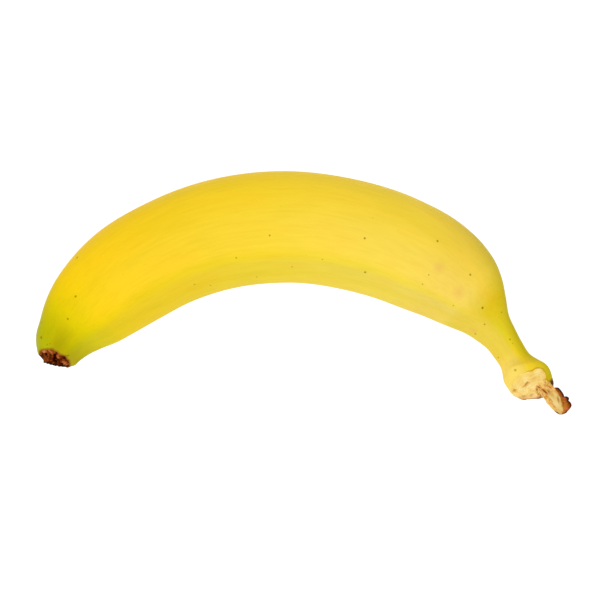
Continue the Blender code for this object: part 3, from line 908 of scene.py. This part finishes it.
# Torn stalk fibre: matt, cream to tan, with olive spots, brown in its fold hollows and pits, which is
# partly its own colour and partly painted shade, and reddish brown on its dried side. Its very end and
# the last of its inner edge are dark brown.
fibre = finish_named("torn stalk fibre")
strip_place = bend_places(fibre)[-1]
STRIP_TINTS = ((0.36, "eecc7c"), (0.54, "e8c072"), (0.68, "e3c47a"), (0.84, "e3c680"), (1.0, "deb664"))
DRIED_TINTS = ((0.0, "cc8a3c"), (0.5, "a4600f"), (1.0, "8a3c06"))
share_value = add(fibre, "Attribute", attribute_name="strip_share").outputs["Fac"]
blotch = add(fibre, "TexNoise", {"Vector": strip_place, "Scale": 0.6, "Detail": 3.0})
share_moved = add(fibre, "Math", {0: blotch, 1: 0.2, 2: share_value}, operation="MULTIPLY_ADD")
strip_colour = add(fibre, "ValToRGB", {0: share_moved}, stops=STRIP_TINTS)
groove_value = add(fibre, "Attribute", attribute_name="groove").outputs["Fac"]
# Painted shade: the hollows of the folds are darkened brown, partly as their own colour.
hollow = add(fibre, "MapRange", {0: groove_value, 1: 0.5, 2: 1.0, 4: 0.25})
olive_value = add(fibre, "Attribute", attribute_name="olive").outputs["Fac"]
sunk_value = add(fibre, "Attribute", attribute_name="sunk").outputs["Fac"]
# The pits are painted darker brown, partly as their own colour and partly as painted shade.
sunk_brown_and_shade = add(fibre, "MapRange", {0: sunk_value, 1: 0.05, 2: 0.7})
dried_value = add(fibre, "Attribute", attribute_name="dried").outputs["Fac"]
dried_moved = add(fibre, "Math", {0: blotch, 1: 1.2, 2: dried_value}, operation="MULTIPLY_ADD")
dried_share = add(fibre, "MapRange", {0: dried_moved, 1: 0.3, 2: 0.9})
dried_tone = add(fibre, "ValToRGB", {0: dried_value}, stops=DRIED_TINTS)
at_end = add(fibre, "MapRange", {0: share_value, 1: 0.935, 2: 0.975, 4: 0.9})
tip_edge = add(fibre, "Attribute", attribute_name="tip_edge").outputs["Fac"]
at_tip = add(fibre, "Math", {0: tip_edge, 1: at_end}, operation="MAXIMUM")
for share, colour in (
    (hollow, linear("b8863a")),
    (olive_value, linear("a88c1e")),
    (sunk_brown_and_shade, linear("965004")),
    (dried_share, dried_tone),
    (at_tip, linear("6a3008")),
):
    strip_colour = add(fibre, "Mix", {0: share, 6: strip_colour, 7: colour}, data_type="RGBA")
strip_grain = add(fibre, "TexNoise", {"Vector": strip_place, "Scale": 2.0, "Detail": 3.0})
shading = {"Base Color": strip_colour, "Roughness": 0.65, "Specular IOR Level": 0.06}
cover(strip, fibre, shading, strip_grain, bump=(0.4, 0.2))
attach(strip, "root")


# The fibre bundles at the strip's root
# The real ones are the stalk's own strands. They fan out of the broken face, lie over the strip's
# root, and run out into it.

# Each bundle: its line as seen from above, in angles and distances outside, and its half width.
BUNDLES = (
    (
        ((65.7, 5.2), (66.7, 5.42), (67.5, 5.8), (68.0, 6.3), (68.7, 6.75), (69.4, 7.0), (70.1, 7.0)),
        0.36,
    ),
    (((67.2, 3.35), (67.7, 3.63), (68.1, 3.85)), 0.24),
    (((68.1, 2.65), (69.0, 2.97), (69.9, 3.32), (70.9, 3.85), (71.7, 4.44), (72.4, 5.0)), 0.46),
    (((68.4, 3.0), (69.2, 3.4), (70.0, 4.1), (70.6, 4.5)), 0.22),
    (((66.7, 0.9), (67.5, 1.0), (68.3, 1.42), (69.0, 1.75)), 0.26),
    (((66.0, 2.45), (66.9, 2.75), (67.4, 3.0)), 0.26),
    (((66.3, 3.4), (67.1, 4.6), (67.8, 5.1), (68.6, 5.4), (69.6, 5.5)), 0.30),
    (((66.5, 1.6), (67.3, 2.3), (68.1, 2.7)), 0.24),
)
BUNDLE_RINGS = 60
BUNDLE_COLUMNS = 16
# How far a bundle sways aside in mm, how deep it lies and how much deeper at its ends as shares of
# its half width, and how much its thickness varies.
BUNDLE_SWAY = 0.05
BUNDLE_SINK = 0.35
END_SINK = 0.5
BUNDLE_VARIES = 0.12
# How near to a strand's middle a point counts as under it, in mm as seen from above.
NEAR = 0.3


def tube(line, radii, columns):
    """Rings of a round strand along a line of points."""
    across, over = ways_off(line)
    turn = np.linspace(0, 2 * math.pi, columns, endpoint=False)
    side, up = np.cos(turn)[:, None], np.sin(turn)[:, None]
    return line[:, None] + radii[:, None, None] * (side * across[:, None] + up * over[:, None])


def merged(name, pieces):
    """One object made of several."""
    all_of = bmesh.new()
    for piece in pieces:
        all_of.from_mesh(piece.data)
    all_of.to_mesh(pieces[0].data)
    all_of.free()
    for piece in pieces[1:]:
        bpy.data.objects.remove(piece)
    pieces[0].name = name
    pieces[0].data.name = name
    return pieces[0]


surface = unrolled(np.concatenate([face_rings.reshape(-1, 3), strip_rings.reshape(-1, 3)]))


def laid(bend, outside):
    """Points on top of the broken face and the strip, at places seen from above."""
    tops = []
    for x, y in zip(np.radians(bend) * BEND_RADIUS, outside):
        away = np.hypot(surface[:, 0] - x, surface[:, 1] - y)
        tops.append(surface[away < max(NEAR, away.min() + 0.02), 2].max())
    tops = np.convolve(np.pad(tops, 4, mode="edge"), np.ones(9) / 9, mode="valid")
    return at_turn(np.radians(bend), BEND_RADIUS + outside, tops)


strands = []
t = np.linspace(0, 1, BUNDLE_RINGS)
for number, (places, half_wide) in enumerate(BUNDLES):
    draw = np.random.default_rng(60 + number)
    bend, outside = read_along(places, t)
    outside = outside + BUNDLE_SWAY * np.sin(2 * math.pi * (2.2 * t + draw.uniform()))
    line = laid(bend, outside)
    at_ends = eased((np.abs(2 * t - 1) - 0.5) / 0.5)
    line[:, 2] -= half_wide * (BUNDLE_SINK + END_SINK * at_ends)
    radii = half_wide * np.sqrt(np.maximum(1 - np.abs(2 * t - 1) ** 4, 0.02))
    radii = radii * (1 + BUNDLE_VARIES * np.sin(2 * math.pi * (2.5 * t + draw.uniform())))
    strand = tube(line, radii, BUNDLE_COLUMNS)
    dried = past_border(unrolled(strand))
    strands.append(skin(f"bundle_{number}", strand, {"run": t[:, None], "dried": dried}))
bundles = merged("fibre_bundles", strands)

# Dry stalk strands: matt cream, straw-coloured and brown in places.
strandy = finish_named("dry stalk strands")
bundle_place = bend_places(strandy)[-1]
STRAND_TINTS = ((0.34, "c88e3a"), (0.46, "dcb05c"), (0.62, "ecca80"))
RUN_TINTS = ((0.0, "fff2dc"), (0.5, "fff0dc"), (0.95, "f2dcb8"))
run_value = add(strandy, "Attribute", attribute_name="run").outputs["Fac"]
strand_noise = add(strandy, "TexNoise", {"Vector": bundle_place, "Scale": 0.9, "Detail": 3.0})
strand_tone = add(strandy, "ValToRGB", {0: strand_noise}, stops=STRAND_TINTS)
run_tone = add(strandy, "ValToRGB", {0: run_value}, stops=RUN_TINTS)
layers = {0: 1.0, 6: strand_tone, 7: run_tone}
bundle_colour = add(strandy, "Mix", layers, data_type="RGBA", blend_type="MULTIPLY")
bundle_past = add(strandy, "Attribute", attribute_name="dried").outputs["Fac"]
bundle_share = add(strandy, "MapRange", {0: bundle_past, 1: -0.5, 2: 0.4, 4: 0.85})
layers = {0: bundle_share, 6: bundle_colour, 7: linear("c47c34")}
bundle_dried = add(strandy, "Mix", layers, data_type="RGBA")
bundle_grain = add(strandy, "TexNoise", {"Vector": bundle_place, "Scale": 3.0, "Detail": 3.0})
shading = {"Base Color": bundle_dried, "Roughness": 0.65, "Specular IOR Level": 0.06}
cover(bundles, strandy, shading, bundle_grain, bump=(0.4, 0.2))
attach(bundles, "root")


# The dried edges of the strip
# The real ones are three curled flaps of the stalk's own skin, left on the strip's outer side and
# end. They dried reddish brown, with nearly black rims that are partly their own dried colour and
# partly painted shade.

# Each flap: its root line and its rim as seen from above, how thick it is, how far its rim drops, and
# how dark the rim is painted, partly as its own colour and partly as painted shade.
FLAPS = (
    (
        ((68.05, 6.7), (68.6, 6.95), (69.2, 7.3), (69.8, 7.6), (70.4, 7.7), (70.9, 7.7)),
        ((68.0, 7.1), (68.3, 8.05), (68.97, 8.5), (69.6, 8.75), (70.2, 8.8), (70.75, 8.3)),
        0.42,
        0.5,
        1.12,
    ),
    (
        ((70.3, 8.0), (70.6, 7.7), (70.9, 7.55), (71.2, 7.6), (71.5, 7.9)),
        ((70.2, 8.7), (70.4, 9.55), (70.75, 10.05), (71.1, 10.0), (71.55, 9.8)),
        0.55,
        0.3,
        1.0,
    ),
    (
        ((71.2, 7.9), (71.6, 7.6), (72.1, 7.4), (72.7, 7.1), (73.2, 6.7), (73.4, 6.0)),
        ((71.15, 9.8), (71.7, 10.2), (72.35, 10.25), (72.85, 9.6), (73.3, 8.4), (73.6, 7.0)),
        0.5,
        0.7,
        0.8,
    ),
)
FLAP_RINGS = 70
FLAP_COLUMNS = 64
# Spots of olive brown and of rosy orange on them, given as pits are.
FLAP_OLIVE = ((71.8, 8.3, 0.8, 0.6, 64, 1.0), (72.2, 7.5, 0.9, 0.5, 64, 0.6))
FLAP_ROSY = (
    (72.6, 8.2, 0.8, 0.5, 40, 0.9),
    (71.2, 8.2, 0.45, 0.25, 10, 0.8),
    (70.65, 8.6, 0.5, 0.3, 30, 0.5),
)
# How deep the roots lie in the strip, how far the rims curl up, and how high the wrinkles are.
ROOT_SINK = 0.25
RIM_CURL = 0.35
WRINKLE_HEIGHT = 0.14
flap_parts = []
t = np.linspace(0, 1, FLAP_RINGS)
round_it = np.linspace(0, 2 * math.pi, FLAP_COLUMNS, endpoint=False)
for number, (root_line, rim_line, thick, drop, darkness) in enumerate(FLAPS):
    root = laid(*read_along(root_line, t))
    rim = laid(*read_along(rim_line, t))
    girth = np.sqrt(np.maximum(1 - np.abs(2 * t - 1) ** 4, 0.003))
    root[:, 2] -= ROOT_SINK
    rim[:, 2] = root[:, 2] - drop * girth
    middle, half = (root + rim) / 2, (rim - root) / 2 * girth[:, None]
    side, up = np.cos(round_it)[:, None], np.sin(round_it)[:, None]
    section = middle[:, None] + half[:, None] * side
    # The flap is domed along its middle, and its rim curls up a little.
    curl = RIM_CURL * np.clip(np.cos(round_it), 0, 1) ** 3
    section[..., 2] += girth[:, None] * (thick * np.sin(round_it) + curl)
    wrinkle = swell(section, (0.7, 2.2), seed=40 + number)
    section[..., 2] += WRINKLE_HEIGHT * wrinkle * girth[:, None]
    places = unrolled(section)
    # The rim is painted dark, partly its own dried colour and partly painted shade.
    rim_dark_and_shade = np.broadcast_to(darkness * (0.5 + 0.5 * np.cos(round_it)), wrinkle.shape)
    spots = {"olive": pitted(places, FLAP_OLIVE), "rosy": pitted(places, FLAP_ROSY)}
    flap_parts.append(skin(f"flap_{number}", section, {"rim": rim_dark_and_shade, "wrinkle": wrinkle, **spots}))
flaps = merged("dried_edges", flap_parts)

# Dried stalk skin: thin and leathery, a little glossier than the pith.
leather = finish_named("dried stalk skin")
FLAP_TINTS = ((0.0, "c47c30"), (0.2, "a05812"), (0.45, "8c3e04"), (0.68, "621c02"), (0.86, "1e0402"))
# The rim's darkness is partly the skin's own colour and partly painted shade.
rim_dark_and_shade_value = add(leather, "Attribute", attribute_name="rim").outputs["Fac"]
wrinkle_value = add(leather, "Attribute", attribute_name="wrinkle").outputs["Fac"]
rim_dark_and_shade_moved = add(leather, "Math", {0: wrinkle_value, 1: -0.12, 2: rim_dark_and_shade_value}, operation="MULTIPLY_ADD")
flap_colour = add(leather, "ValToRGB", {0: rim_dark_and_shade_moved}, stops=FLAP_TINTS)
for key, code in (("olive", "a4701a"), ("rosy", "cc6c3c")):
    share = add(leather, "Attribute", attribute_name=key).outputs["Fac"]
    flap_colour = add(leather, "Mix", {0: share, 6: flap_colour, 7: linear(code)}, data_type="RGBA")
flap_place = add(leather, "TexCoord").outputs["Object"]
flap_grain = add(leather, "TexNoise", {"Vector": flap_place, "Scale": 1400.0, "Detail": 3.0})
shading = {"Base Color": flap_colour, "Roughness": 0.6, "Specular IOR Level": 0.06}
cover(flaps, leather, shading, flap_grain, bump=(0.5, 0.2))
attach(flaps, "root")


# The studio
# The fruit lies on a plain white light table under a wide soft light, and the camera looks
# straight down.

TABLE_SIZE = 3.0
CAMERA_LENS = 100
FRAME_WIDTH = 198.84
FRAME_HEIGHT_LEVEL = 18.0
# The middle of the picture as the photo frames the fruit.
PICTURE_CENTRE = (-1.18, -2.34)
# The light from all round, and the softbox: its size and place in metres, and its power in watts.
WORLD_STRENGTH = 0.66
SOFTBOX_SIZE = (1.4, 1.2)
SOFTBOX_PLACE = (-0.14, -0.22, 1.03)
SOFTBOX_POWER = 8

floor_data = bpy.data.meshes.new("table")
half = TABLE_SIZE / 2
corners = [(-half, -half, 0), (half, -half, 0), (half, half, 0), (-half, half, 0)]
floor_data.from_pydata(corners, [], [(0, 1, 2, 3)])
floor = bpy.data.objects.new("table", floor_data)
bpy.context.scene.collection.objects.link(floor)
floor_finish = finish_named("plain white table")
floor_shader = add(
    floor_finish,
    "BsdfPrincipled",
    {
        "Base Color": linear("a4a4a4"),
        "Roughness": 0.9,
        "Specular IOR Level": 0.0,
        "Emission Color": linear("ffffff"),
        "Emission Strength": 0.8,
    },
)
add(floor_finish, "OutputMaterial", {"Surface": floor_shader})
floor_data.materials.append(floor_finish)

world = bpy.data.worlds.new("soft studio")
world.use_nodes = True
world.node_tree.nodes["Background"].inputs["Color"].default_value = (1, 1, 1, 1)
world.node_tree.nodes["Background"].inputs["Strength"].default_value = WORLD_STRENGTH
bpy.context.scene.world = world

softbox_data = bpy.data.lights.new("softbox", "AREA")
softbox_data.shape = "RECTANGLE"
softbox_data.size, softbox_data.size_y = SOFTBOX_SIZE
softbox_data.energy = SOFTBOX_POWER
softbox = bpy.data.objects.new("softbox", softbox_data)
softbox.location = SOFTBOX_PLACE
softbox.rotation_mode = "QUATERNION"
softbox.rotation_quaternion = Vector(softbox.location).to_track_quat("Z", "Y")
softbox.visible_camera = False
bpy.context.scene.collection.objects.link(softbox)

camera_data = bpy.data.cameras.new("camera")
camera_data.lens = CAMERA_LENS
camera_data.sensor_width = 36
camera = bpy.data.objects.new("camera", camera_data)
camera_rise = FRAME_HEIGHT_LEVEL + FRAME_WIDTH * CAMERA_LENS / camera_data.sensor_width
camera.location = (PICTURE_CENTRE[0] * MM, PICTURE_CENTRE[1] * MM, camera_rise * MM)
bpy.context.scene.collection.objects.link(camera)
bpy.context.scene.camera = camera
bpy.context.scene.view_settings.view_transform = "Standard"
